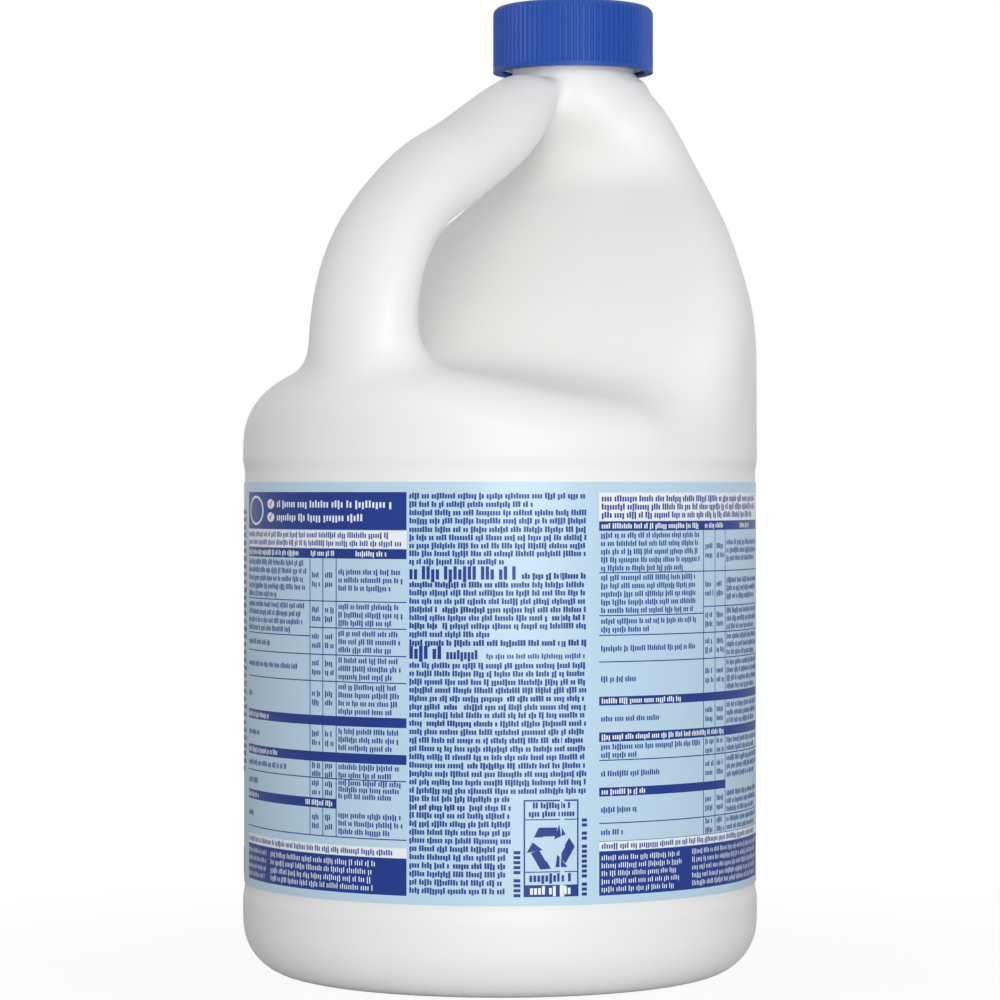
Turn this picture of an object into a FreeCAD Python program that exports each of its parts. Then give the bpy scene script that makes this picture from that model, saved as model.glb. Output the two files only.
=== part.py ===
import FreeCAD
import Part
import math
import os

from FreeCAD import Vector

# A large round bleach jug with a hollow handle, a wrap label and a push-and-turn cap.
# Millimetres, +Z up. The base stands on Z=0 and the body's axis is X=Y=0.
# The handle is toward -X, and the neck is offset toward +X.

os.makedirs("parts", exist_ok=True)

# Round body
BODY_RADIUS = 80.3
BODY_TOP_Z = 165.0
HEEL_RADIUS = 16.5
PUSH_UP_RADIUS = 56.0
PUSH_UP_HEIGHT = 7.0
WALL = 1.2
UPPER_RELIEF = 0.05

# Label panel, a shallow recess in the body, and the label in it
PANEL_DEPTH = 0.6
PANEL_BOTTOM_Z = 27.0
PANEL_TOP_Z = 156.5
PANEL_STEP = 3.5
LABEL_BOTTOM_Z = 29.0
LABEL_TOP_Z = 152.8
LABEL_THICKNESS = 0.12
LABEL_GLUE = 0.06
LABEL_OVERLAP_WIDTH = 9.0
LABEL_SEAM_ANGLE = 240.4

# Upper chamber: height, centre, half depth and half width of its rings
CHAMBER_RINGS = (
    (165.0, 0.0, 80.3, 80.3),
    (174.0, 0.0, 80.3, 80.3),
    (184.0, 0.0, 80.3, 80.3),
    (197.0, 0.0, 80.1, 80.0),
    (210.0, 0.0, 79.0, 77.8),
    (225.0, 2.0, 75.0, 71.4),
    (240.0, 8.0, 66.5, 61.8),
    (252.0, 15.0, 57.0, 51.5),
    (262.0, 19.0, 50.0, 43.3),
    (270.0, 23.0, 42.5, 36.3),
    (275.0, 30.0, 33.0, 29.3),
)
COLLAR_X = 39.4
COLLAR_RADIUS = 22.1
COLLAR_BOTTOM_Z = 279.0
COLLAR_TOP_Z = 281.8

# Grip recess: the ridge of the wall that faces the handle, as height and place
GRIP_RIDGE = (
    (150.0, -52.0),
    (172.0, -37.0),
    (186.0, -28.0),
    (197.0, -21.0),
    (210.0, -12.0),
    (222.0, -2.0),
    (233.0, 8.5),
    (243.0, 19.5),
    (251.0, 26.5),
    (257.0, 27.5),
    (264.0, 24.0),
    (270.0, 18.5),
    (277.0, 12.5),
    (286.0, 7.0),
)
GRIP_SPREAD = 0.52
GRIP_CROWN = 9.5
GRIP_REACH = 100.0
LEDGE_HEIGHT = 187.5
LEDGE_FALL = 15.5
LEDGE_DIP_X = -36.0
LEDGE_SAG_RADIUS = 180.0
CREASE_ROUNDING = 8.0
CORNER_ROUNDING = 16.0

# Handle: centre X and Z, half thickness, half width
HANDLE_RINGS = (
    (-63.0, 170.0, 14.0, 19.4),
    (-63.8, 185.0, 13.6, 19.2),
    (-63.8, 198.0, 13.0, 18.8),
    (-62.2, 210.0, 12.2, 18.4),
    (-58.6, 220.0, 11.9, 18.0),
    (-52.0, 230.0, 11.8, 17.4),
    (-41.8, 239.6, 12.0, 17.0),
    (-30.0, 247.2, 12.9, 17.0),
    (-17.5, 253.9, 12.2, 17.0),
    (-7.5, 259.6, 12.0, 16.4),
    (2.0, 266.0, 11.4, 14.8),
    (10.5, 273.0, 9.2, 12.3),
    (18.5, 279.8, 5.6, 9.2),
)

HANDLE_ROOT_ROUNDING = 14.0
HANDLE_SOLID_RINGS = 1

# Neck and its thread
NECK_X = 36.4
NECK_ROOT_RADIUS = 19.4
NECK_THREAD_RADIUS = 21.0
NECK_TOP_Z = 297.8
NECK_BOTTOM_Z = 270.0
MOUTH_RADIUS = 17.2
THREAD_PITCH = 4.23
THREAD_TURNS = 1.25
THREAD_ROOT_WIDTH = 1.9
THREAD_CREST_WIDTH = 0.9
THREAD_EMBED = 0.4
THREAD_START_ANGLE = 300.0
THREAD_CLEARANCE = 0.4
THREAD_PLAY = 0.3
NECK_THREAD_BOTTOM_Z = 289.3

# Cap: an inner threaded shell in an outer ribbed shell
CAP_RADIUS = 25.6
CAP_TOP_Z = 305.0
CAP_BOTTOM_Z = 284.0
CAP_WALL = 1.6
CAP_TOP_THICKNESS = 1.6
CAP_TOP_ROUNDING = 2.6
RIB_COUNT = 88
RIB_DEPTH = 0.45
RIM_BAND = 1.3
INNER_CAP_WALL = 1.2
INNER_CAP_TOP_THICKNESS = 1.4
SHELL_GAP = 0.35
RETAINER_HEIGHT = 1.0
RETAINER_PLAY = 0.4
FLANGE_HEIGHT = 1.2
LUG_COUNT = 8
LUG_HEIGHT = 1.2
LUG_LENGTH = 8.0
LUG_WIDTH = 3.0
LUG_INNER_RADIUS = 12.0
LINER_THICKNESS = 1.2
LINER_CLEARANCE = 0.5

PANEL_RADIUS = BODY_RADIUS - PANEL_DEPTH
CAP_BORE = CAP_RADIUS - RIB_DEPTH - CAP_WALL
INNER_CAP_TOP_Z = NECK_TOP_Z + LINER_THICKNESS + INNER_CAP_TOP_THICKNESS
INNER_CAP_BORE = NECK_THREAD_RADIUS + THREAD_CLEARANCE
INNER_CAP_RADIUS = INNER_CAP_BORE + INNER_CAP_WALL
INNER_CAP_BOTTOM_Z = CAP_BOTTOM_Z + RETAINER_HEIGHT + RETAINER_PLAY
RETAINER_RADIUS = INNER_CAP_RADIUS + SHELL_GAP
FLANGE_RADIUS = CAP_BORE - SHELL_GAP
CAP_THREAD_BOTTOM_Z = NECK_THREAD_BOTTOM_Z - (THREAD_ROOT_WIDTH + THREAD_CREST_WIDTH) / 2 - THREAD_PLAY


def turned(wire, axis_x=0.0):
    """A solid of revolution about an upright axis, from a closed outline in the XZ plane."""
    return Part.Face(wire).revolve(Vector(axis_x, 0, 0), Vector(0, 0, 1), 360)


def outline(points, axis_x=0.0):
    """A closed wire in the XZ plane from radius and height pairs about an upright axis."""
    corners = [Vector(axis_x + radius, 0, z) for radius, z in points]
    return Part.makePolygon(corners + corners[:1])


def smooth_surface(rows):
    surface = Part.BSplineSurface()
    surface.interpolate(rows)
    return surface.toShape()


def ring(centre, normal_x, normal_z, half_depth, half_width):
    """A closed oval wire: its depth lies in the XZ plane, square to the given direction."""
    length = math.hypot(normal_x, normal_z)
    across = Vector(normal_z / length, 0, -normal_x / length)
    points = []
    for step in range(24):
        turn = math.radians(15 * step)
        points.append(centre + across * (half_depth * math.cos(turn)) + Vector(0, half_width * math.sin(turn), 0))
    curve = Part.BSplineCurve()
    curve.interpolate(Points=points, PeriodicFlag=True)
    return Part.Wire(curve.toShape())


def body_outline(inset):
    """Half of the round body's section, as a closed wire in the XZ plane."""
    body = BODY_RADIUS - inset
    panel = PANEL_RADIUS - inset
    heel_x = BODY_RADIUS - HEEL_RADIUS
    heel = HEEL_RADIUS - inset
    diagonal = math.sqrt(0.5) * heel
    corners = [
        (body, HEEL_RADIUS),
        (body, PANEL_BOTTOM_Z - PANEL_STEP),
        (panel, PANEL_BOTTOM_Z),
        (panel, PANEL_TOP_Z),
        (body, PANEL_TOP_Z + PANEL_STEP),
        (body, BODY_TOP_Z),
        (0, BODY_TOP_Z),
        (0, PUSH_UP_HEIGHT + inset),
    ]
    edges = [Part.makeLine(Vector(a[0], 0, a[1]), Vector(b[0], 0, b[1])) for a, b in zip(corners, corners[1:])]
    dome = Part.Arc(Vector(0, 0, PUSH_UP_HEIGHT + inset),
                    Vector(PUSH_UP_RADIUS / 2, 0, 0.78 * PUSH_UP_HEIGHT + inset),
                    Vector(PUSH_UP_RADIUS, 0, inset))
    curve = Part.Arc(Vector(heel_x, 0, inset),
                     Vector(heel_x + diagonal, 0, HEEL_RADIUS - diagonal),
                     Vector(body, 0, HEEL_RADIUS))
    edges += [dome.toShape(), Part.makeLine(Vector(PUSH_UP_RADIUS, 0, inset), Vector(heel_x, 0, inset)),
              curve.toShape()]
    return Part.Wire(Part.__sortEdges__(edges))


def round_body(inset):
    return turned(body_outline(inset))


def grip_spread(y):
    """How far the grip wall falls back toward +X at a distance from the middle plane."""
    return math.hypot(GRIP_SPREAD * y, GRIP_CROWN) - GRIP_CROWN


def ledge_height(x, y):
    fall = LEDGE_FALL * (y / BODY_RADIUS) ** 2
    return LEDGE_HEIGHT - fall + (x - LEDGE_DIP_X) ** 2 / (2 * LEDGE_SAG_RADIUS)


def grip_recess(inset):
    """The space cut from both flanks behind the handle: one wall and one ledge, creased softly."""
    steps = range(-100, 101, 20)
    wall_rows = [[Vector(x + 1.15 * inset + grip_spread(y), y, z) for y in steps] for z, x in GRIP_RIDGE]
    ledge_rows = [[Vector(x, y, ledge_height(x, y) - inset) for y in steps] for x in range(-120, 121, 40)]
    before_wall = smooth_surface(wall_rows).extrude(Vector(-3 * GRIP_REACH, 0, 0))
    above_ledge = smooth_surface(ledge_rows).extrude(Vector(0, 0, 2 * GRIP_REACH))
    space = before_wall.common(above_ledge)
    crease = [edge for edge in space.Edges
              if edge.BoundBox.YLength > GRIP_REACH and abs(edge.BoundBox.ZMax - LEDGE_HEIGHT) < 10
              and edge.BoundBox.XMin > -GRIP_REACH / 2]
    return space.makeFillet(CREASE_ROUNDING, crease)


def chamber(inset):
    """The round upper chamber that leans to the neck, with the grip recess cut and its edges rounded."""
    relief = inset + UPPER_RELIEF
    rings = [ring(Vector(x, 0, z), 0, 1, depth - relief, width - relief) for z, x, depth, width in CHAMBER_RINGS]
    rings.append(ring(Vector(COLLAR_X, 0, COLLAR_BOTTOM_Z), 0, 1, COLLAR_RADIUS - relief, COLLAR_RADIUS - relief))
    full = Part.makeLoft(rings, True, False)
    cut = full.cut(grip_recess(inset))
    edges = [edge for edge in cut.Edges
             if edge.BoundBox.YLength > BODY_RADIUS and edge.BoundBox.ZLength > LEDGE_FALL + 1]
    return cut.makeFillet(CORNER_ROUNDING, edges)


def handle(inset, rings_left_out=0):
    """The grip, from its flared root on the ledge up to the neck, whole or without its last rings."""
    rings = []
    last = len(HANDLE_RINGS) - 1
    for place, (x, z, thick, wide) in enumerate(HANDLE_RINGS):
        before = HANDLE_RINGS[max(place - 1, 0)]
        after = HANDLE_RINGS[min(place + 1, last)]
        direction = (after[0] - before[0], after[1] - before[1])
        if place in (0, last):
            direction = (0, 1)
        rings.append(ring(Vector(x, 0, z), direction[0], direction[1], thick - inset, wide - inset))
    return Part.makeLoft(rings[:len(rings) - rings_left_out], True, False)


def neck_cylinder(radius, bottom_z, top_z):
    return Part.makeCylinder(radius, top_z - bottom_z, Vector(NECK_X, 0, bottom_z))


def thread(radius, crest, bottom_z):
    """A helical ridge about the neck's axis, standing from one radius to another."""
    root = radius - math.copysign(THREAD_EMBED, crest - radius)
    half_root = THREAD_ROOT_WIDTH / 2
    half_crest = THREAD_CREST_WIDTH / 2
    helix = Part.makeHelix(THREAD_PITCH, THREAD_PITCH * THREAD_TURNS, radius)
    section = outline([(root, -half_root), (crest, -half_crest), (crest, half_crest), (root, half_root)])
    ridge = Part.Wire(helix.Edges).makePipeShell([section], True, True)
    ridge.rotate(Vector(0, 0, 0), Vector(0, 0, 1), THREAD_START_ANGLE)
    ridge.translate(Vector(NECK_X, 0, bottom_z))
    return ridge


def upper_half(inset):
    """The chamber and the handle as one form, with the grip's lower root blended into the ledge."""
    form = chamber(inset).fuse(handle(inset))
    root_x = HANDLE_RINGS[0][0]
    root = [edge for edge in form.Edges
            if edge.BoundBox.ZMin > BODY_TOP_Z + 1 and edge.BoundBox.ZMax < LEDGE_HEIGHT + CORNER_ROUNDING
            and abs(edge.BoundBox.Center.x - root_x) < HANDLE_RINGS[0][2] and edge.BoundBox.YLength < 60
            and edge.BoundBox.YMax < 30 and edge.BoundBox.YMin > -30]
    return form.makeFillet(HANDLE_ROOT_ROUNDING, root)


def bottle():
    outer = round_body(0).fuse([upper_half(0),
                                Part.makeCylinder(COLLAR_RADIUS, COLLAR_TOP_Z - COLLAR_BOTTOM_Z,
                                                  Vector(COLLAR_X, 0, COLLAR_BOTTOM_Z)),
                                neck_cylinder(NECK_ROOT_RADIUS, NECK_BOTTOM_Z, NECK_TOP_Z),
                                thread(NECK_ROOT_RADIUS, NECK_THREAD_RADIUS, NECK_THREAD_BOTTOM_Z)])
    inner = round_body(WALL).fuse([chamber(WALL), handle(WALL, HANDLE_SOLID_RINGS),
                                   neck_cylinder(MOUTH_RADIUS, NECK_BOTTOM_Z, NECK_TOP_Z + 1)])
    return outer.cut(inner)


def label():
    """A film round the panel, with its glued end lying over its start."""
    height = LABEL_TOP_Z - LABEL_BOTTOM_Z
    seat = PANEL_RADIUS + LABEL_GLUE
    film = seat + LABEL_THICKNESS
    foot = Vector(0, 0, LABEL_BOTTOM_Z)
    band = Part.makeCylinder(film, height, foot).cut(Part.makeCylinder(seat, height, foot))
    width = math.degrees(LABEL_OVERLAP_WIDTH / PANEL_RADIUS)
    flap = Part.makeCylinder(film + LABEL_THICKNESS, height, foot, Vector(0, 0, 1), width)
    flap = flap.cut(Part.makeCylinder(seat, height, foot))
    flap.rotate(Vector(0, 0, 0), Vector(0, 0, 1), LABEL_SEAM_ANGLE - width)
    return band.fuse(flap)


def rib_grooves():
    """The space between the ribs round the outer shell, down to its smooth rim."""
    pitch = 2 * math.pi / RIB_COUNT
    crest = CAP_RADIUS + RIB_DEPTH
    root = CAP_RADIUS - RIB_DEPTH
    corners = []
    for rib in range(RIB_COUNT):
        for share, radius in ((0.25, crest), (0.75, root), (1.0, root)):
            turn = pitch * (rib + share)
            corners.append(Vector(NECK_X + radius * math.cos(turn), radius * math.sin(turn), 0))
    star = Part.Face(Part.makePolygon(corners + corners[:1]))
    bottom = CAP_BOTTOM_Z + RIM_BAND
    star.translate(Vector(0, 0, bottom))
    height = CAP_TOP_Z + 1 - bottom
    return neck_cylinder(CAP_RADIUS + 2, bottom, bottom + height).cut(star.extrude(Vector(0, 0, height)))


def lugs(bottom_z, first_angle):
    """A ring of radial blocks that drive the inner shell when the outer one is pressed."""
    blocks = []
    for place in range(LUG_COUNT):
        block = Part.makeBox(LUG_LENGTH, LUG_WIDTH, LUG_HEIGHT,
                             Vector(NECK_X + LUG_INNER_RADIUS, -LUG_WIDTH / 2, bottom_z))
        block.rotate(Vector(NECK_X, 0, 0), Vector(0, 0, 1), first_angle + 360.0 * place / LUG_COUNT)
        blocks.append(block)
    return blocks


def outer_cap():
    ceiling = CAP_TOP_Z - CAP_TOP_THICKNESS
    shell = turned(outline([
        (0, CAP_TOP_Z), (CAP_RADIUS, CAP_TOP_Z), (CAP_RADIUS, CAP_BOTTOM_Z), (RETAINER_RADIUS, CAP_BOTTOM_Z),
        (RETAINER_RADIUS, CAP_BOTTOM_Z + RETAINER_HEIGHT), (CAP_BORE, CAP_BOTTOM_Z + RETAINER_HEIGHT),
        (CAP_BORE, ceiling), (0, ceiling)], NECK_X), NECK_X)
    rim = [edge for edge in shell.Edges
           if edge.BoundBox.ZMin > CAP_TOP_Z - 0.01 and edge.BoundBox.YLength > CAP_RADIUS]
    shell = shell.makeFillet(CAP_TOP_ROUNDING, rim).cut(rib_grooves())
    return shell.fuse(lugs(ceiling - LUG_HEIGHT, 0))


def inner_cap():
    ceiling = INNER_CAP_TOP_Z - INNER_CAP_TOP_THICKNESS
    flange_top = INNER_CAP_BOTTOM_Z + FLANGE_HEIGHT
    shell = turned(outline([
        (0, INNER_CAP_TOP_Z), (INNER_CAP_RADIUS, INNER_CAP_TOP_Z), (INNER_CAP_RADIUS, flange_top),
        (FLANGE_RADIUS, flange_top), (FLANGE_RADIUS, INNER_CAP_BOTTOM_Z), (INNER_CAP_BORE, INNER_CAP_BOTTOM_Z),
        (INNER_CAP_BORE, ceiling), (0, ceiling)], NECK_X), NECK_X)
    ridge = thread(INNER_CAP_BORE, NECK_ROOT_RADIUS + THREAD_CLEARANCE, CAP_THREAD_BOTTOM_Z)
    return shell.fuse([ridge] + lugs(INNER_CAP_TOP_Z, 180.0 / LUG_COUNT))


def liner():
    return neck_cylinder(INNER_CAP_BORE - LINER_CLEARANCE, NECK_TOP_Z, NECK_TOP_Z + LINER_THICKNESS)


for name, make in (("bottle", bottle), ("label", label), ("outer_cap", outer_cap),
                   ("inner_cap", inner_cap), ("liner", liner)):
    shape = make()
    print(name, shape.isValid(), len(shape.Solids), round(shape.Volume), shape.BoundBox)
    shape.exportStep("parts/" + name + ".step")
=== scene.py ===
import math
import random

import bmesh
import bpy
import numpy as np
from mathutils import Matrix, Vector


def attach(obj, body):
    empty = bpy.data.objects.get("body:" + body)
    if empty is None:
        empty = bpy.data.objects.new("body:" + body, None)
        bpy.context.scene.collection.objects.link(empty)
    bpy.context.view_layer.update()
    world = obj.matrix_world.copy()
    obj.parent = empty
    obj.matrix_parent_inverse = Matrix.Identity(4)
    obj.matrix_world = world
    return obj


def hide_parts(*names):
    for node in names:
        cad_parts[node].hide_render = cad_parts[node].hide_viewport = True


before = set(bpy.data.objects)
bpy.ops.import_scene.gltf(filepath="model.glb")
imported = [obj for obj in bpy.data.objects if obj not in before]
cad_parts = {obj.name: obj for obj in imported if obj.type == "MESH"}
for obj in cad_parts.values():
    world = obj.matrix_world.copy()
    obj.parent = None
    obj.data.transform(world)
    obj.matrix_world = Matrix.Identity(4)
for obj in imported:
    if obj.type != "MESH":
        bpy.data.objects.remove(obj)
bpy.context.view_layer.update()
print("frame loaded:", sorted(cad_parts))


def rgb(red, green, blue):
    parts = [part / 255 for part in (red, green, blue)]
    linear = [part / 12.92 if part < 0.04 else ((part + 0.055) / 1.055) ** 2.4 for part in parts]
    return (*linear, 1.0)


# Materials. Moulded plastic shares one grain group, and each material has its own values.

def makeMouldGrain():
    group = bpy.data.node_groups.new("mouldGrain", "ShaderNodeTree")
    for name, value in (("Grain Size", 900.0), ("Wave Size", 28.0), ("Wave Share", 0.6)):
        socket = group.interface.new_socket(name=name, in_out="INPUT", socket_type="NodeSocketFloat")
        socket.default_value = value
    group.interface.new_socket(name="Height", in_out="OUTPUT", socket_type="NodeSocketFloat")
    group.interface.new_socket(name="Wear", in_out="OUTPUT", socket_type="NodeSocketFloat")
    nodes, links = group.nodes, group.links
    inputs, outputs = nodes.new("NodeGroupInput"), nodes.new("NodeGroupOutput")
    place = nodes.new("ShaderNodeTexCoord")
    grain, wave = nodes.new("ShaderNodeTexNoise"), nodes.new("ShaderNodeTexNoise")
    grain.inputs["Detail"].default_value = 2.0
    wave.inputs["Detail"].default_value = 1.0
    mix = nodes.new("ShaderNodeMix")
    links.new(place.outputs["Object"], grain.inputs["Vector"])
    links.new(place.outputs["Object"], wave.inputs["Vector"])
    links.new(inputs.outputs["Grain Size"], grain.inputs["Scale"])
    links.new(inputs.outputs["Wave Size"], wave.inputs["Scale"])
    links.new(inputs.outputs["Wave Share"], mix.inputs["Factor"])
    links.new(grain.outputs["Fac"], mix.inputs[2])
    links.new(wave.outputs["Fac"], mix.inputs[3])
    links.new(mix.outputs[0], outputs.inputs["Height"])
    links.new(wave.outputs["Fac"], outputs.inputs["Wear"])
    return group


def makePlastic(name, look, grain):
    material = bpy.data.materials.new(name)
    material.use_nodes = True
    nodes, links = material.node_tree.nodes, material.node_tree.links
    shader = nodes["Principled BSDF"]
    shader.inputs["Base Color"].default_value = look["colour"]
    shader.inputs["Roughness"].default_value = look["roughness"]
    shader.inputs["Specular IOR Level"].default_value = look.get("specular", 0.5)
    if look.get("bump"):
        moulding = nodes.new("ShaderNodeGroup")
        moulding.node_tree = grain
        moulding.inputs["Grain Size"].default_value = look["grainSize"]
        moulding.inputs["Wave Size"].default_value = look["waveSize"]
        moulding.inputs["Wave Share"].default_value = look["waveShare"]
        bump = nodes.new("ShaderNodeBump")
        bump.inputs["Distance"].default_value = look["bump"]
        links.new(moulding.outputs["Height"], bump.inputs["Height"])
        links.new(bump.outputs["Normal"], shader.inputs["Normal"])
        sheen = nodes.new("ShaderNodeMapRange")
        sheen.inputs["To Min"].default_value = look["roughness"] - look["roughnessSpread"]
        sheen.inputs["To Max"].default_value = look["roughness"] + look["roughnessSpread"]
        links.new(moulding.outputs["Wear"], sheen.inputs["Value"])
        links.new(sheen.outputs["Result"], shader.inputs["Roughness"])
    return material


looks = {
    "milkyPlastic": {"colour": rgb(243, 243, 242), "roughness": 0.42, "roughnessSpread": 0.06, "specular": 0.35,
                     "bump": 0.0002, "grainSize": 700.0, "waveSize": 45.0, "waveShare": 0.8},
    "capPlastic": {"colour": rgb(34, 80, 171), "roughness": 0.5, "roughnessSpread": 0.05, "specular": 0.3,
                   "bump": 0.00005, "grainSize": 1500.0, "waveSize": 120.0, "waveShare": 0.4},
    "innerCapPlastic": {"colour": rgb(236, 236, 233), "roughness": 0.45, "roughnessSpread": 0.04,
                        "bump": 0.00005, "grainSize": 1500.0, "waveSize": 90.0, "waveShare": 0.4},
    "linerFoam": {"colour": rgb(228, 227, 222), "roughness": 0.8, "roughnessSpread": 0.05,
                  "bump": 0.0001, "grainSize": 2500.0, "waveSize": 200.0, "waveShare": 0.2},
    "labelFilm": {"colour": rgb(191, 220, 239), "roughness": 0.34, "roughnessSpread": 0.04,
                  "bump": 0.00008, "grainSize": 400.0, "waveSize": 30.0, "waveShare": 0.9},
    "printNavy": {"colour": rgb(28, 58, 142), "roughness": 0.36, "specular": 0.28},
    "printText": {"colour": rgb(38, 70, 150), "roughness": 0.36, "specular": 0.28},
    "printWhite": {"colour": rgb(240, 246, 252), "roughness": 0.34},
    "printRed": {"colour": rgb(205, 48, 52), "roughness": 0.34},
}
mouldGrain = makeMouldGrain()
materials = {name: makePlastic(name, look, mouldGrain) for name, look in looks.items()}
print("materials made:", len(materials))


def addObject(name, mesh, body, material):
    mesh.materials.clear()
    mesh.materials.append(materials[material])
    mesh.shade_smooth()
    piece = bpy.data.objects.new(name, mesh)
    bpy.context.scene.collection.objects.link(piece)
    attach(piece, body)
    return piece


# Bottle: an even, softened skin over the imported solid, and the solid's own neck and inside.

bottleSkin = {
    "voxel": 0.0013,
    "cutHeight": 0.2832,
    "neckTop": 0.2978,
    "neckSharp": 35,
    "weldDistance": 1e-6,
    "lipReach": 0.0001,
    "smoothing": 10,
    "smoothingStep": 0.5,
    "bodyRadius": 0.0803,
    "panelRadius": 0.0797,
    "bodyFrom": 0.07,
    "panelEnds": (0.0235, 0.0275, 0.1560, 0.1605),
    "bodyEnds": (0.0175, 0.0200, 0.1600, 0.1640),
    "crease": {"place": -0.028, "spread": 0.52, "crown": 0.0095, "height": 0.1875, "fall": 0.0155,
               "halfWidth": 0.0803, "reach": 0.026, "fullWithin": 0.4, "rounds": 150},
}


def ease(value, start, end):
    share = np.clip((value - start) / (end - start), 0.0, 1.0)
    return share * share * (3.0 - 2.0 * share)


def weldedCopy(node):
    shell = bmesh.new()
    shell.from_mesh(node.data)
    bmesh.ops.remove_doubles(shell, verts=shell.verts, dist=bottleSkin["weldDistance"])
    return shell


def openAtLip(shell, lipHeight):
    lipStart = lipHeight - bottleSkin["lipReach"]
    lip = [face for face in shell.faces if face.normal.z > 0.9 and face.calc_center_median().z > lipStart]
    bmesh.ops.delete(shell, geom=lip, context="FACES")
    start = min(shell.verts, key=lambda vert: vert.co.z)
    outer, waiting = {start}, [start]
    while waiting:
        for edge in waiting.pop().link_edges:
            for vert in edge.verts:
                if vert not in outer:
                    outer.add(vert)
                    waiting.append(vert)
    return outer


def neighbourSums(points, edges):
    total = np.zeros_like(points)
    np.add.at(total, edges[:, 0], points[edges[:, 1]])
    np.add.at(total, edges[:, 1], points[edges[:, 0]])
    return total


def smoothPoints(points, edges, weight, rounds):
    count = np.bincount(edges.ravel(), minlength=len(points))[:, None]
    for _ in range(rounds):
        points = points + weight[:, None] * (neighbourSums(points, edges) / count - points)
    return points


def makeBottleSkin(setting):
    shell = weldedCopy(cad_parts["bottle"])
    outer = openAtLip(shell, setting["neckTop"])
    bmesh.ops.delete(shell, geom=[vert for vert in shell.verts if vert not in outer], context="VERTS")
    bmesh.ops.holes_fill(shell, edges=shell.edges, sides=0)
    mesh = bpy.data.meshes.new("bottleSkin")
    shell.to_mesh(mesh)
    shell.free()
    rough = bpy.data.objects.new("bottleRough", mesh)
    bpy.context.scene.collection.objects.link(rough)
    remesh = rough.modifiers.new("remesh", "REMESH")
    remesh.mode = "VOXEL"
    remesh.voxel_size = setting["voxel"]
    even = bpy.data.meshes.new_from_object(rough.evaluated_get(bpy.context.evaluated_depsgraph_get()))
    bpy.data.objects.remove(rough)
    bpy.data.meshes.remove(mesh)

    points = np.zeros(len(even.vertices) * 3)
    even.vertices.foreach_get("co", points)
    points = points.reshape(-1, 3)
    edges = np.zeros(len(even.edges) * 2, int)
    even.edges.foreach_get("vertices", edges)
    edges = edges.reshape(-1, 2)
    points = smoothPoints(points, edges, np.full(len(points), setting["smoothingStep"]), setting["smoothing"])
    crease = setting["crease"]
    creaseAt = crease["place"] + np.hypot(crease["spread"] * points[:, 1], crease["crown"]) - crease["crown"]
    creaseHeight = crease["height"] - crease["fall"] * (points[:, 1] / crease["halfWidth"]) ** 2
    away = np.hypot(points[:, 0] - creaseAt, points[:, 2] - creaseHeight) / crease["reach"]
    nearCrease = 1.0 - ease(away, crease["fullWithin"], 1.0)
    points = smoothPoints(points, edges, setting["smoothingStep"] * nearCrease, crease["rounds"])

    height = points[:, 2]
    radius = np.hypot(points[:, 0], points[:, 1])
    ends, panel = setting["bodyEnds"], setting["panelEnds"]
    sunk = ease(height, panel[0], panel[1]) * (1.0 - ease(height, panel[2], panel[3]))
    wanted = setting["bodyRadius"] + (setting["panelRadius"] - setting["bodyRadius"]) * sunk
    share = ease(height, ends[0], ends[1]) * (1.0 - ease(height, ends[2], ends[3]))
    share = share * (radius > setting["bodyFrom"])
    scale = 1.0 + share * (wanted / np.maximum(radius, 0.001) - 1.0)
    points[:, 0] *= scale
    points[:, 1] *= scale
    even.vertices.foreach_set("co", points.ravel())

    skin = bmesh.new()
    skin.from_mesh(even)
    bmesh.ops.bisect_plane(skin, geom=[*skin.verts, *skin.edges, *skin.faces],
                           plane_co=(0, 0, setting["cutHeight"]), plane_no=(0, 0, 1), clear_outer=True)
    skin.to_mesh(even)
    skin.free()
    return even


def placeKey(vert):
    return tuple(round(part, 6) for part in vert.co)


def makeNeckAndInside(setting):
    shell = weldedCopy(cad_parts["bottle"])
    copyOfShell = shell.copy()
    outerPlaces = {placeKey(vert) for vert in openAtLip(copyOfShell, setting["neckTop"])}
    copyOfShell.free()
    bmesh.ops.bisect_plane(shell, geom=[*shell.verts, *shell.edges, *shell.faces],
                           plane_co=(0, 0, setting["cutHeight"]), plane_no=(0, 0, 1))
    below = [face for face in shell.faces
             if face.calc_center_median().z < setting["cutHeight"]
             and any(placeKey(vert) in outerPlaces for vert in face.verts)]
    bmesh.ops.delete(shell, geom=below, context="FACES")
    mesh = bpy.data.meshes.new("neckAndInside")
    shell.to_mesh(mesh)
    shell.free()
    return mesh


skinPiece = addObject("bottleSkin", makeBottleSkin(bottleSkin), "bottle", "milkyPlastic")
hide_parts("bottle")
neckPiece = addObject("neckAndInside", makeNeckAndInside(bottleSkin), "bottle", "milkyPlastic")
neckPiece.data.set_sharp_from_angle(angle=math.radians(bottleSkin["neckSharp"]))
print("bottle skin:", len(skinPiece.data.polygons), "faces; neck:", len(neckPiece.data.polygons))


# Cap: the solids themselves, each with its own material.

capPieces = {"outer_cap": "capPlastic", "inner_cap": "innerCapPlastic", "liner": "linerFoam"}
for name, material in capPieces.items():
    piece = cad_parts[name]
    piece.data.materials.clear()
    piece.data.materials.append(materials[material])
print("cap dressed")


# Label: a printed film round the panel. Print is laid out flat in millimetres, as distance round
# the film from the line that faces the camera and height above the floor, then wrapped on the film.

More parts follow.
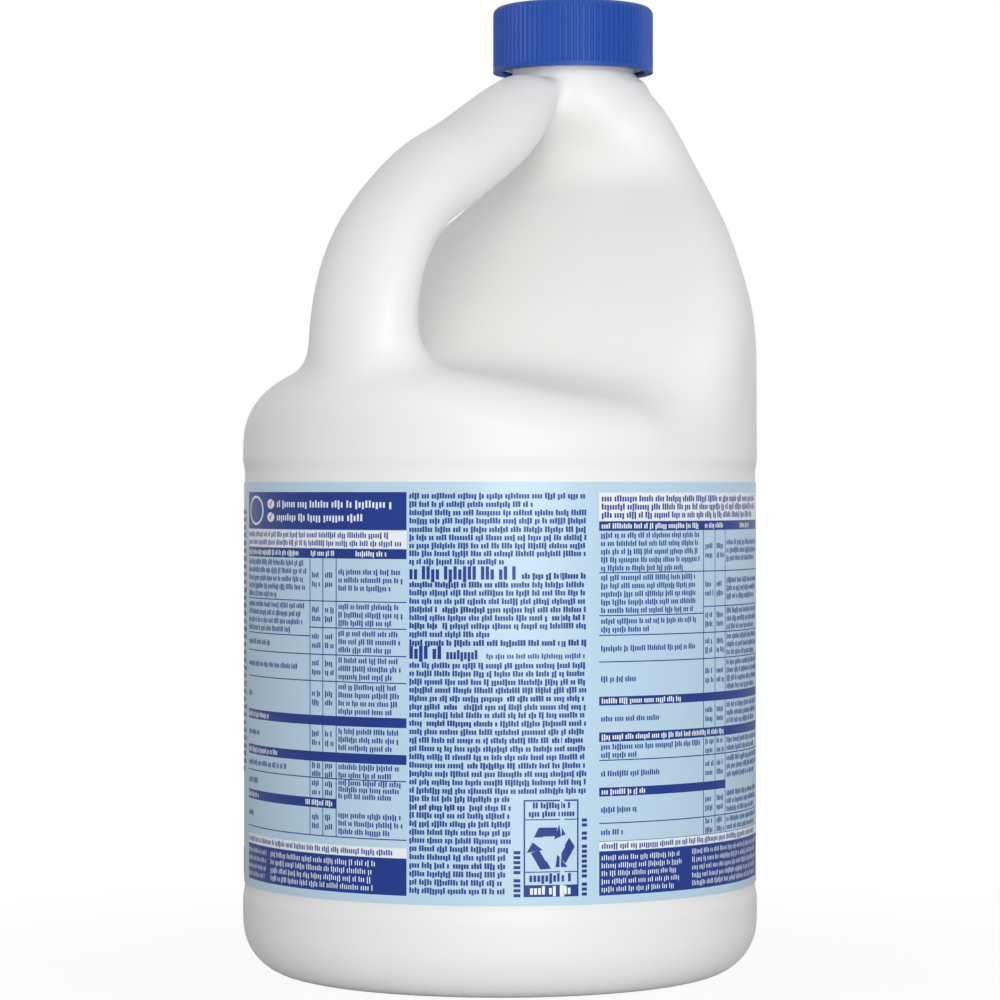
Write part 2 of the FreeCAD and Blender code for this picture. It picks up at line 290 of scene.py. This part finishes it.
label = {
    "radius": 79.98,
    "thickness": 0.12,
    "bottom": 29.0,
    "top": 152.8,
    "facing": 220.0,
    "seam": 28.4,
    "overlap": 9.0,
    "shoulder": 2.0,
    "seamStep": 0.03,
    "columns": 360,
    "filmSharp": 40,
    "navyLift": 0.012,
    "whiteLift": 0.018,
    "inkLift": 0.024,
    "step": 2.0,
    "slice": 0.8,
    "seed": 7,
    "rowPitch": 2.41,
}
around = 2 * math.pi * label["radius"]


def filmRadius(place):
    back = (label["seam"] - place) % around
    beyond = max(0.0, back - label["overlap"])
    raised = 1.0 - min(1.0, beyond / label["shoulder"])
    return label["radius"] + label["thickness"] * raised * raised * (3 - 2 * raised)


def onFilm(place, height, lift):
    turn = math.radians(label["facing"]) + place / label["radius"]
    radius = (filmRadius(place) + lift) / 1000
    return (radius * math.cos(turn), radius * math.sin(turn), height / 1000)


def makeFilm():
    mesh = bpy.data.meshes.new("labelFilm")
    build = bmesh.new()
    count = label["columns"]
    places = [label["seam"] - around * step / count for step in range(count)]
    places = sorted([*places, label["seam"] - around + label["seamStep"]])
    columns = []
    for place in places:
        inner = label["radius"] - label["thickness"] - filmRadius(place)
        columns.append([build.verts.new(onFilm(place, height, lift)) for height, lift in
                        ((label["bottom"], 0), (label["top"], 0), (label["top"], inner), (label["bottom"], inner))])
    for here, after in zip(columns, columns[1:] + columns[:1]):
        for corner in range(4):
            build.faces.new((here[corner - 1], after[corner - 1], after[corner], here[corner]))
    bmesh.ops.recalc_face_normals(build, faces=build.faces)
    build.to_mesh(mesh)
    build.free()
    return mesh


def addOutline(build, points):
    flat = bmesh.new()
    flat.faces.new([flat.verts.new((place, height, 0)) for place, height in points])
    first, last = min(points)[0], max(points)[0]
    cuts = math.floor((last - first) / label["slice"])
    for cut in range(cuts):
        bmesh.ops.bisect_plane(flat, geom=[*flat.verts, *flat.edges, *flat.faces],
                               plane_co=(first + (cut + 0.5) * (last - first) / cuts, 0, 0), plane_no=(1, 0, 0))
    for face in flat.faces:
        build.append([(vert.co.x, vert.co.y) for vert in face.verts])
    flat.free()


def addPrint(name, shapes, material, lift):
    build = bmesh.new()
    for shape in shapes:
        if isinstance(shape, list):
            slices = []
            addOutline(slices, shape)
            for points in slices:
                build.faces.new([build.verts.new(onFilm(place, height, lift)) for place, height in points])
        else:
            left, bottom, right, top = shape
            steps = max(1, math.ceil((right - left) / label["step"]))
            places = [left + (right - left) * step / steps for step in range(steps + 1)]
            rails = [(build.verts.new(onFilm(place, bottom, lift)), build.verts.new(onFilm(place, top, lift)))
                     for place in places]
            for here, after in zip(rails, rails[1:]):
                build.faces.new((here[0], after[0], after[1], here[1]))
    mesh = bpy.data.meshes.new(name)
    build.to_mesh(mesh)
    build.free()
    return addObject(name, mesh, "bottle", material)


# Text is rows of upright marks that spell nothing, grouped like words.

marks = {
    "wordLengths": (2, 3, 4, 4, 5, 6, 7, 9),
    "heights": (1.0, 1.0, 1.0, 1.3, 1.3),
    "drops": (0.0, 0.0, 0.0, 0.0, 0.28),
    "wordGap": 0.75,
    "rowDrop": 0.6,
    "shortestRow": 0.93,
}
chance = random.Random(label["seed"])


def greek(left, right, base, height, boldness=0.66, share=1.0, slim=0.62):
    drawn = []
    end = left + (right - left) * share
    unit = height * slim
    place = left
    while place < end - unit:
        for _ in range(chance.choice(marks["wordLengths"])):
            if place > end - unit:
                break
            tall = height * chance.choice(marks["heights"])
            drop = height * chance.choice(marks["drops"])
            drawn.append((place, base - drop, place + unit * boldness, base + tall))
            place += unit
        place += unit * marks["wordGap"]
    return drawn


def greekRows(left, right, top, bottom, rows, height=1.25, boldness=0.64, lastShare=0.7, pitch=None):
    pitch = pitch or min(label["rowPitch"], (top - bottom) / rows)
    first = (top + bottom) / 2 + pitch * (rows - 1) / 2 - height * marks["rowDrop"]
    drawn = []
    for row in range(rows):
        share = lastShare if row == rows - 1 else chance.uniform(marks["shortestRow"], 1.0)
        drawn += greek(left, right, first - row * pitch, height, boldness, share)
    return drawn


navy, white, text, paleText, red = [], [], [], [], []

# Tables. Bands are top, bottom and the number of column edges they reach; strips are top and bottom; rows are
# top, bottom, rows of marks, share of the last one, and rows in the last column; lastRows are top, bottom and
# rows; rules are height, first edge and last edge.
tableColumns = {
    "left": {
        "edges": (-104.4, -63.0, -57.5, -52.2, -28.0), "rule": 0.32,
        "bands": ((149.9, 138.7, 5), (133.1, 130.2, 5), (83.5, 80.6, 5), (72.7, 69.8, 5), (58.9, 56.0, 4),
                  (42.3, 31.4, 5)),
        "strips": ((138.5, 133.3), (45.3, 42.4)),
        "rows": ((130.2, 117.5, 5, 0.6, 3), (117.5, 107.0, 4, 0.8, 0), (107.0, 101.6, 1, 0.5, 0),
                 (101.6, 93.7, 1, 0.9, 3), (93.7, 83.5, 1, 0.12, 4), (80.6, 72.7, 1, 0.3, 3),
                 (69.8, 64.9, 1, 0.75, 2), (64.9, 58.9, 1, 0.25, 3), (56.0, 47.7, 1, 0.15, 3)),
        "lastRows": ((117.5, 109.6, 3), (109.6, 101.6, 3)),
        "rules": ((117.5, 0, 5), (107.0, 0, 1), (109.6, 1, 5), (101.6, 0, 5), (93.7, 0, 5), (64.9, 0, 5),
                  (47.7, 0, 5)),
    },
    "right": {
        "edges": (29.8, 69.3, 75.3, 81.3, 115.0), "rule": 0.32,
        "bands": ((141.3, 138.5, 5), (89.8, 87.2, 5), (79.3, 76.5, 5), (63.1, 60.5, 4), (44.4, 31.4, 5)),
        "strips": ((149.7, 141.4), (47.2, 44.5)),
        "rows": ((138.5, 126.2, 5, 0.8, 3), (126.2, 113.6, 5, 0.9, 0), (113.6, 107.8, 2, 0.45, 0),
                 (107.8, 100.0, 1, 0.95, 3), (100.0, 89.8, 1, 0.32, 4), (87.2, 79.3, 1, 0.53, 3),
                 (76.5, 71.1, 2, 0.35, 2), (71.1, 63.1, 1, 0.56, 3), (60.5, 52.6, 1, 0.33, 3),
                 (52.6, 47.2, 1, 0.2, 2)),
        "lastRows": ((126.2, 115.6, 3), (115.6, 107.8, 3)),
        "rules": ((126.2, 0, 5), (113.6, 0, 1), (115.6, 1, 5), (107.8, 0, 5), (100.0, 0, 5), (71.1, 0, 5),
                  (52.6, 0, 5), (47.2, 0, 5)),
    },
}


cells = {"firstMargins": (0.6, 0.8), "narrowMargins": (0.9, 0.6), "lastMargins": (0.9, 0.8),
         "narrowPitch": 2.7, "lastShare": 0.85}


def layCells(edges, top, bottom, rows):
    left, right = edges[3] + cells["lastMargins"][0], edges[4] - cells["lastMargins"][1]
    text.extend(greekRows(left, right, top, bottom, rows, lastShare=cells["lastShare"]))
    for column in (1, 2):
        left, right = edges[column] + cells["narrowMargins"][0], edges[column + 1] - cells["narrowMargins"][1]
        text.extend(greekRows(left, right, top, bottom, 2, lastShare=1.0, pitch=cells["narrowPitch"]))


def layTable(table):
    edges = table["edges"]
    half = table["rule"] / 2
    for top, bottom, columns in table["bands"]:
        navy.append((edges[0], bottom, edges[columns - 1], top))
    for top, bottom in table["strips"]:
        white.append((edges[0], bottom, edges[-1], top))
    for height, first, last in table["rules"]:
        navy.append((edges[first], height - half, edges[min(last, 4)], height + half))
    gridTop, gridBottom = table["rows"][0][0], table["rows"][-1][1]
    for edge in edges[1:-1]:
        navy.append((edge - half, gridBottom, edge + half, gridTop))
    for top, bottom, rows, share, lastRows in table["rows"]:
        left, right = edges[0] + cells["firstMargins"][0], edges[1] - cells["firstMargins"][1]
        text.extend(greekRows(left, right, top, bottom, rows, lastShare=share))
        if lastRows:
            layCells(edges, top, bottom, lastRows)
    for top, bottom, rows in table["lastRows"]:
        layCells(edges, top, bottom, rows)


for table in tableColumns.values():
    layTable(table)


def disc(place, height, across, tall):
    turns = [math.pi * step / 12 for step in range(24)]
    return [(place + across * math.cos(turn), height + tall * math.sin(turn)) for turn in turns]


leftHead = {
    "marksAt": (-80.0, -32.0),
    "lines": ((145.3, 1.6, 1.0), (141.3, 1.6, 0.79)),
    "boldness": 0.56,
    "slim": 0.74,
    "tickAt": -84.0,
    "tickDisc": (2.4, 1.45),
    "tickStrokes": (((-1.0, 0.1), (-0.2, -0.9), (-0.1, -0.1), (-0.6, 0.5)),
                    ((-0.2, -0.9), (1.4, 1.2), (0.8, 1.4), (-0.1, -0.1))),
    "oval": (-95.8, 144.3),
    "ovalSize": (6.6, 4.5),
    "ovalInner": (5.6, 3.8),
}
for base, height, share in leftHead["lines"]:
    left, right = leftHead["marksAt"]
    paleText += greek(left, right, base, height, leftHead["boldness"], share, leftHead["slim"])
    centre = (leftHead["tickAt"], base + 1.0)
    white.append(disc(*centre, *leftHead["tickDisc"]))
    for stroke in leftHead["tickStrokes"]:
        red.append([(centre[0] + across, centre[1] + up) for across, up in stroke])
white.append(disc(*leftHead["oval"], *leftHead["ovalSize"]))
text.append(disc(*leftHead["oval"], *leftHead["ovalInner"]))

# Rows on the strips: left, right, top, bottom, rows, height, boldness, share of the last row.
stripRows = ((-103.8, -28.8, 138.4, 133.4, 2, 1.25, 0.64, 1.0), (-103.8, -28.8, 45.2, 42.5, 1, 1.25, 0.64, 0.97),
             (30.6, 114.0, 149.6, 141.5, 3, 1.4, 0.7, 0.9), (30.6, 114.0, 47.1, 44.6, 1, 1.25, 0.64, 0.95))
for row in stripRows:
    text += greekRows(*row)

# Headings on the bands, one row each: left, right, top, bottom, share of the row that is filled.
headings = {
    "height": 1.2,
    "boldness": 0.6,
    "rows": ((-103.8, -66.0, 133.0, 130.3, 0.95), (-62.6, -52.6, 133.0, 130.3, 1.0),
             (-45.0, -34.0, 133.0, 130.3, 1.0), (-103.8, -66.0, 83.4, 80.7, 0.5), (-103.8, -66.0, 72.6, 69.9, 0.66),
             (-103.8, -66.0, 58.8, 56.1, 0.3), (-65.0, -52.6, 58.8, 56.1, 1.0), (30.6, 67.5, 141.2, 138.6, 1.0),
             (70.0, 80.4, 141.2, 138.6, 1.0), (92.0, 102.0, 141.2, 138.6, 1.0), (30.6, 69.0, 89.7, 87.3, 0.75),
             (30.6, 81.0, 79.2, 76.6, 1.0), (30.6, 69.0, 63.0, 60.6, 0.42)),
}
for left, right, top, bottom, share in headings["rows"]:
    paleText += greekRows(left, right, top, bottom, 1, headings["height"], headings["boldness"], share)

# Blocks on the lowest bands, given like the strips' rows.
lowBlocks = ((-103.8, -86.0, 41.6, 32.0, 4, 1.1, 0.4, 0.9), (-84.0, -36.0, 41.8, 31.8, 4, 1.25, 0.42, 0.96),
             (30.6, 60.0, 43.6, 32.0, 5, 1.15, 0.4, 0.9), (64.0, 114.0, 43.8, 32.0, 5, 1.15, 0.4, 0.95))
for block in lowBlocks:
    paleText += greekRows(*block)

# Middle column: each line has its distance down the column and the share of the width that it fills.
middle = {
    "edges": (-27.1, 25.9),
    "top": 153.4,
    "scale": 0.0793,
    "height": 1.3,
    "boldness": 0.76,
    "strong": 0.8,
    "strongParts": {388: (0.0, 0.56), 480: (0.19, 0.43), 510: (0.8, 1.0), 540: (0.0, 0.18), 808: (0.55, 0.8),
                    839: (0.2, 0.3), 900: (0.1, 0.5), 962: (0.8, 1.0), 1055: (0.33, 0.6), 1210: (0.0, 0.33),
                    1425: (0.25, 0.55)},
    "wordGap": 0.6,
}


def middleHeight(line):
    return middle["top"] - middle["scale"] * line - middle["height"] * 0.5


for line, share in ((60, 1), (91, .7), (122, 1), (152, 1), (184, 1), (214, 1), (244, 1), (273, 1), (303, .55),
                    (388, 1), (418, 1), (449, 1), (480, 1), (510, 1), (540, 1), (571, .47),
                    (686, 1), (716, 1), (747, 1), (777, 1), (808, 1), (839, 1), (869, 1), (900, 1), (931, 1),
                    (962, 1),
                    (993, 1), (1024, 1), (1055, 1), (1086, 1), (1117, 1), (1148, 1),
                    (1178, .58), (1210, .58), (1240, .58), (1271, .58), (1302, .58), (1332, .58), (1363, .57),
                    (1394, .55), (1425, .55), (1456, .55), (1487, .55), (1518, .55)):
    left, right = middle["edges"]
    end = left + (right - left) * share
    strong = middle["strongParts"].get(line)
    base = middleHeight(line)
    if strong:
        starts, stops = left + (right - left) * strong[0], left + (right - left) * strong[1]
        text += greek(left, starts - middle["wordGap"], base, middle["height"], middle["boldness"])
        navy += greek(starts, stops, base, middle["height"], middle["strong"])
        text += greek(stops + middle["wordGap"], end, base, middle["height"], middle["boldness"])
    else:
        text += greek(left, end, base, middle["height"], middle["boldness"])

# Larger words of the middle column: left, right, base, height, boldness, share, width of a mark to its height.
for words in ((-27.1, 5.2, 124.3, 3.0, 0.72, 1.0, 0.47), (6.4, 25.9, 124.5, 1.35, 0.8, 1.0, 0.62),
              (-27.1, 25.9, middleHeight(603), 1.35, 0.8, 1.0, 0.62), (-27.1, -16.6, 101.0, 3.0, 0.75, 1.0, 0.5),
              (-15.8, -5.0, 101.0, 2.1, 0.75, 1.0, 0.5)):
    navy += greek(*words)
text += greek(-4.0, 25.9, 101.2, 1.15)

box = {
    "left": 6.9,
    "right": 23.3,
    "bottom": 31.5,
    "top": 59.9,
    "rule": 0.45,
    "halfShelf": 0.15,
    "shelves": (54.1, 38.8, 35.0),
    "navyWords": ((9.6, 21.0, 57.4, 1.35, 0.75), (8.4, 22.4, 55.0, 1.35, 0.75), (8.6, 22.0, 35.9, 1.9, 0.72)),
    "paleWords": (8.8, 21.8, 32.2, 1.9, 0.72),
}
for left, bottom, right, top in (
        (box["left"], box["bottom"], box["left"] + box["rule"], box["top"]),
        (box["right"] - box["rule"], box["bottom"], box["right"], box["top"]),
        (box["left"], box["top"] - box["rule"], box["right"], box["top"]),
        (box["left"], box["bottom"], box["right"], box["shelves"][2]),
        (box["left"], box["shelves"][0] - box["halfShelf"], box["right"], box["shelves"][0] + box["halfShelf"]),
        (box["left"], box["shelves"][1] - box["halfShelf"], box["right"], box["shelves"][1] + box["halfShelf"])):
    navy.append((left, bottom, right, top))
for words in box["navyWords"]:
    navy += greek(*words)
paleText += greek(*box["paleWords"])

# Loop of three arrows: each arrow's parts are given as distance along its side and out from the centre.
arrows = {
    "centre": ((box["left"] + box["right"]) / 2, 45.8),
    "size": 1.3,
    "tail": ((-4.0, 2.4), (-2.0, 2.4), (-1.0, 4.6), (-2.9, 4.6)),
    "bar": ((-2.9, 4.6), (-1.0, 4.6), (1.4, 4.6), (1.0, 2.6), (-1.9, 2.6)),
    "head": ((0.6, 1.9), (3.3, 3.0), (1.9, 5.4)),
}
for side in range(3):
    turn = math.radians(120 * side + 90)
    along = (arrows["size"] * math.cos(turn - math.pi / 2), arrows["size"] * math.sin(turn - math.pi / 2))
    out = (arrows["size"] * math.cos(turn), arrows["size"] * math.sin(turn))
    for part in ("tail", "bar", "head"):
        navy.append([tuple(arrows["centre"][axis] + along[axis] * forward + out[axis] * outward for axis in (0, 1))
                     for forward, outward in arrows[part]])

# Upright words on both sides of the box, as marks stacked one above the other.
uprightWords = {
    "columns": ((3.95, 2.0, 31.5, 45.2), (24.3, 1.6, 31.6, 55.4)),
    "mark": 0.95,
    "pitch": 1.45,
    "wordPitch": 2.4,
    "wordChance": 0.15,
}
for left, width, bottom, top in uprightWords["columns"]:
    height = bottom
    while height < top - 1.0:
        navy.append((left, height, left + width, height + uprightWords["mark"]))
        sameWord = chance.random() > uprightWords["wordChance"]
        height += uprightWords["pitch"] if sameWord else uprightWords["wordPitch"]

# Far side: panels are left, bottom, right, top; words are left, right, base, height.
farSide = {
    "navyPanels": ((144.0, 66.0, 368.0, 149.0), (124.0, 31.4, 388.0, 40.0)),
    "whitePanels": ((158.0, 92.0, 354.0, 120.0), (144.0, 61.5, 368.0, 64.0)),
    "navyWords": ((196.0, 316.0, 103.0, 8.0), (170.0, 340.0, 50.0, 4.0), (190.0, 320.0, 44.0, 2.2)),
    "paleWords": ((200.0, 312.0, 132.0, 6.0), (180.0, 332.0, 76.0, 5.0), (160.0, 350.0, 34.0, 2.6)),
    "boldness": 0.75,
    "sideColumn": (around - 123.0, around - 108.0, 148.0, 60.0, 34),
    "sideShare": 0.8,
}
navy += farSide["navyPanels"]
white += farSide["whitePanels"]
for words in farSide["navyWords"]:
    navy += greek(*words, farSide["boldness"])
for words in farSide["paleWords"]:
    paleText += greek(*words, farSide["boldness"])
text += greekRows(*farSide["sideColumn"], lastShare=farSide["sideShare"])

filmPiece = addObject("labelFilm", makeFilm(), "bottle", "labelFilm")
filmPiece.data.set_sharp_from_angle(angle=math.radians(label["filmSharp"]))
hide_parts("label")
addPrint("labelNavy", navy, "printNavy", label["navyLift"])
addPrint("labelWhite", white, "printWhite", label["whiteLift"])
addPrint("labelText", text, "printText", label["inkLift"])
addPrint("labelPaleText", paleText, "printWhite", label["inkLift"])
addPrint("labelTicks", red, "printRed", label["inkLift"])
print("label printed:", len(navy), len(white), len(text), len(paleText))


# Floor, light and camera

stage = {
    "floorSize": 30.0,
    "floorColour": rgb(228, 228, 228),
    "floorGlow": 0.93,
    "shadowReach": (0.09, 0.32),
    "ambient": 0.44,
    "key": {"turn": 228.0, "height": 0.36, "distance": 2.0, "size": 1.1, "energy": 26.0, "aim": 0.16},
    "camera": {"distance": 1.190, "turn": 220.0, "height": 0.1505, "lens": 136.8, "shift": -0.010},
}


def makeFloor():
    half = stage["floorSize"] / 2
    mesh = bpy.data.meshes.new("floor")
    mesh.from_pydata([(-half, -half, 0), (half, -half, 0), (half, half, 0), (-half, half, 0)], [], [(0, 1, 2, 3)])
    material = bpy.data.materials.new("studioFloor")
    material.use_nodes = True
    nodes, links = material.node_tree.nodes, material.node_tree.links
    nodes.clear()
    output, mix = nodes.new("ShaderNodeOutputMaterial"), nodes.new("ShaderNodeMixShader")
    plain, glow = nodes.new("ShaderNodeBsdfDiffuse"), nodes.new("ShaderNodeEmission")
    path, share = nodes.new("ShaderNodeLightPath"), nodes.new("ShaderNodeMath")
    place, far = nodes.new("ShaderNodeTexCoord"), nodes.new("ShaderNodeVectorMath")
    fade = nodes.new("ShaderNodeMapRange")
    plain.inputs["Color"].default_value = stage["floorColour"]
    far.operation = "LENGTH"
    fade.interpolation_type = "SMOOTHSTEP"
    fade.inputs["From Min"].default_value, fade.inputs["From Max"].default_value = stage["shadowReach"]
    fade.inputs["To Min"].default_value = stage["floorGlow"]
    fade.inputs["To Max"].default_value = 1.0
    links.new(place.outputs["Object"], far.inputs[0])
    links.new(far.outputs["Value"], fade.inputs["Value"])
    share.operation = "MULTIPLY"
    links.new(fade.outputs["Result"], share.inputs[1])
    links.new(path.outputs["Is Camera Ray"], share.inputs[0])
    links.new(share.outputs[0], mix.inputs["Fac"])
    links.new(plain.outputs[0], mix.inputs[1])
    links.new(glow.outputs[0], mix.inputs[2])
    links.new(mix.outputs[0], output.inputs["Surface"])
    mesh.materials.append(material)
    floor = bpy.data.objects.new("floor", mesh)
    bpy.context.scene.collection.objects.link(floor)


def makeWorld():
    world = bpy.data.worlds.new("studio")
    bpy.context.scene.world = world
    world.use_nodes = True
    nodes, links = world.node_tree.nodes, world.node_tree.links
    background = nodes["Background"]
    background.inputs["Color"].default_value = (1, 1, 1, 1)
    path = nodes.new("ShaderNodeLightPath")
    seen, both, strength = nodes.new("ShaderNodeMath"), nodes.new("ShaderNodeMath"), nodes.new("ShaderNodeMapRange")
    seen.operation = both.operation = "MAXIMUM"
    links.new(path.outputs["Is Camera Ray"], seen.inputs[0])
    links.new(path.outputs["Is Glossy Ray"], seen.inputs[1])
    links.new(seen.outputs[0], both.inputs[0])
    links.new(path.outputs["Is Transmission Ray"], both.inputs[1])
    strength.inputs["To Min"].default_value = stage["ambient"]
    links.new(both.outputs[0], strength.inputs["Value"])
    links.new(strength.outputs["Result"], background.inputs["Strength"])


def makeKeyLight():
    setting = stage["key"]
    lamp = bpy.data.lights.new("keyLight", "AREA")
    lamp.size = setting["size"]
    lamp.energy = setting["energy"]
    turn = math.radians(setting["turn"])
    light = bpy.data.objects.new("keyLight", lamp)
    light.location = (setting["distance"] * math.cos(turn), setting["distance"] * math.sin(turn), setting["height"])
    light.rotation_euler = (Vector((0, 0, setting["aim"])) - light.location).to_track_quat("-Z", "Y").to_euler()
    bpy.context.scene.collection.objects.link(light)


def makeCamera():
    setting = stage["camera"]
    turn = math.radians(setting["turn"])
    lens = bpy.data.cameras.new("camera")
    lens.lens = setting["lens"]
    lens.sensor_width = 36.0
    lens.shift_y = setting["shift"]
    camera = bpy.data.objects.new("camera", lens)
    across = setting["distance"]
    camera.location = (across * math.cos(turn), across * math.sin(turn), setting["height"])
    camera.rotation_euler = Vector((-math.cos(turn), -math.sin(turn), 0)).to_track_quat("-Z", "Y").to_euler()
    bpy.context.scene.collection.objects.link(camera)
    bpy.context.scene.camera = camera


makeFloor()
makeWorld()
makeKeyLight()
makeCamera()
bpy.context.scene.view_settings.view_transform = "Standard"
print("floor, light and camera set")
